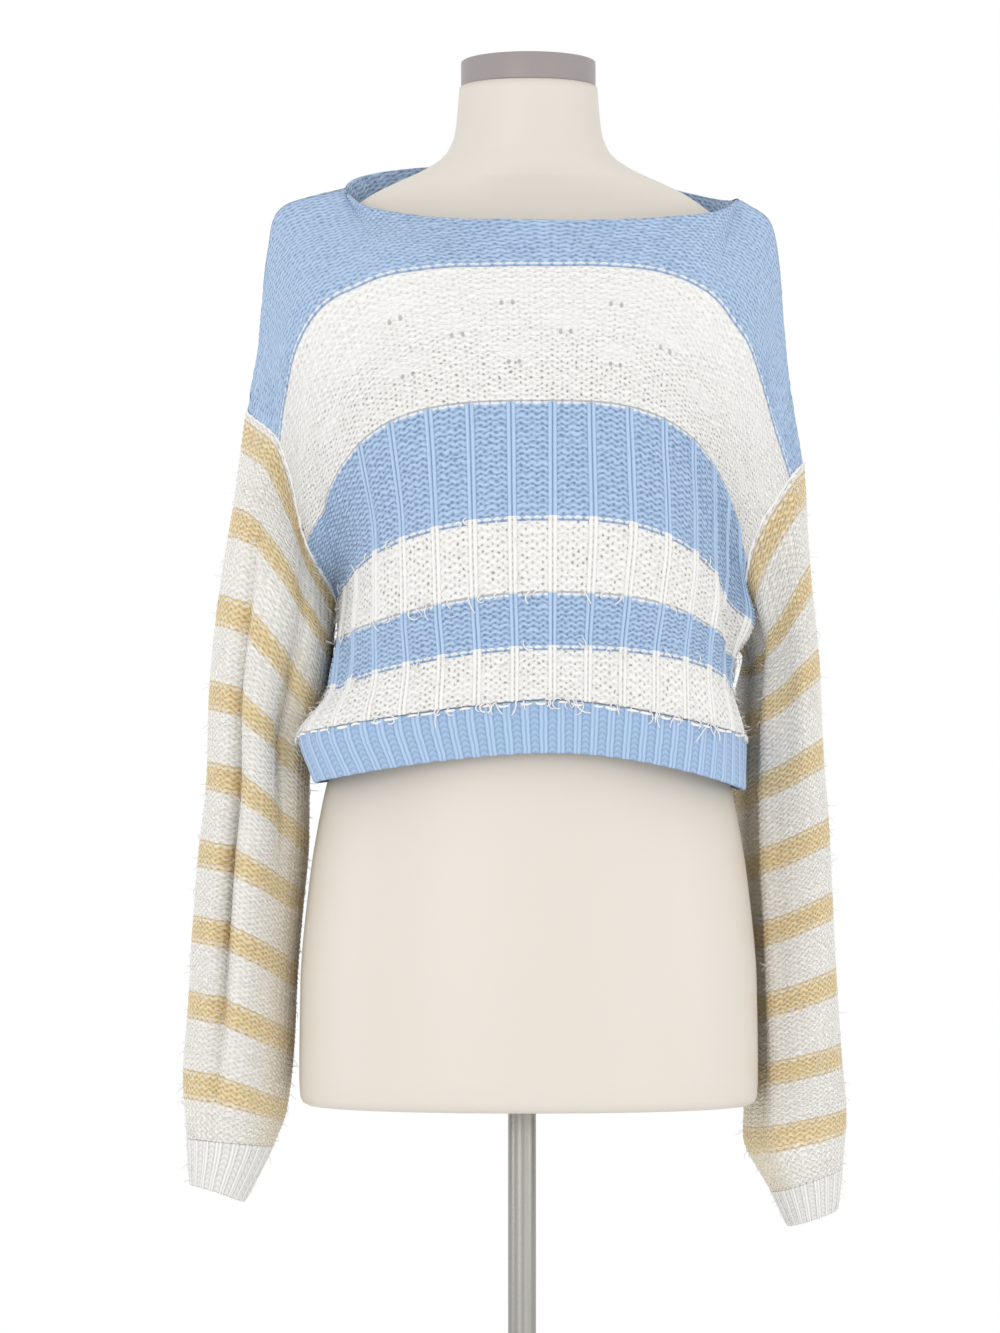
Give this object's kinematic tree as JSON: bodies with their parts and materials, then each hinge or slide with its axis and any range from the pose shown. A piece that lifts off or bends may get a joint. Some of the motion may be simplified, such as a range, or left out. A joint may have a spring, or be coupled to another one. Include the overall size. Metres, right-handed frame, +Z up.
{
  "type": "cropped knit sweater on a limbless dress form",
  "caption": "Cropped drop-shoulder knit sweater in blue and white bands with striped full sleeves, worn by a plain limbless dress form on a pole and round foot.",
  "frame": {"origin": "centre of the round foot's underside, on the pole's axis", "axes": "+Z up along the pole, the sweater's front faces -Y, +X to the right of someone who looks at the front"},
  "size_m": [0.5112, 0.33, 1.6308],
  "materials": {
    "front_panel": "blue and white banded knit, purl side out, with raised knit columns",
    "back_panel": "blue and white banded knit, purl side out, with raised knit columns",
    "sleeve_left": "white knit with narrow yellow stripes",
    "sleeve_right": "white knit with narrow yellow stripes",
    "hem_rib_front": "blue rib",
    "hem_rib_back": "blue rib",
    "cuff_left": "white rib",
    "cuff_right": "white rib",
    "form_torso": "smooth cream cover",
    "neck_cap": "satin grey",
    "pole": "satin",
    "base_plate": "satin"
  },
  "bodies": {
    "root": {"front_panel": "front_panel", "back_panel": "back_panel", "sleeve_left": "sleeve_left", "sleeve_right": "sleeve_right", "hem_rib_front": "hem_rib_front", "hem_rib_back": "hem_rib_back", "cuff_left": "cuff_left", "cuff_right": "cuff_right", "form_torso": "form_torso", "neck_cap": "neck_cap", "pole": "pole", "base_plate": "base_plate"}
  },
  "joints": []
}
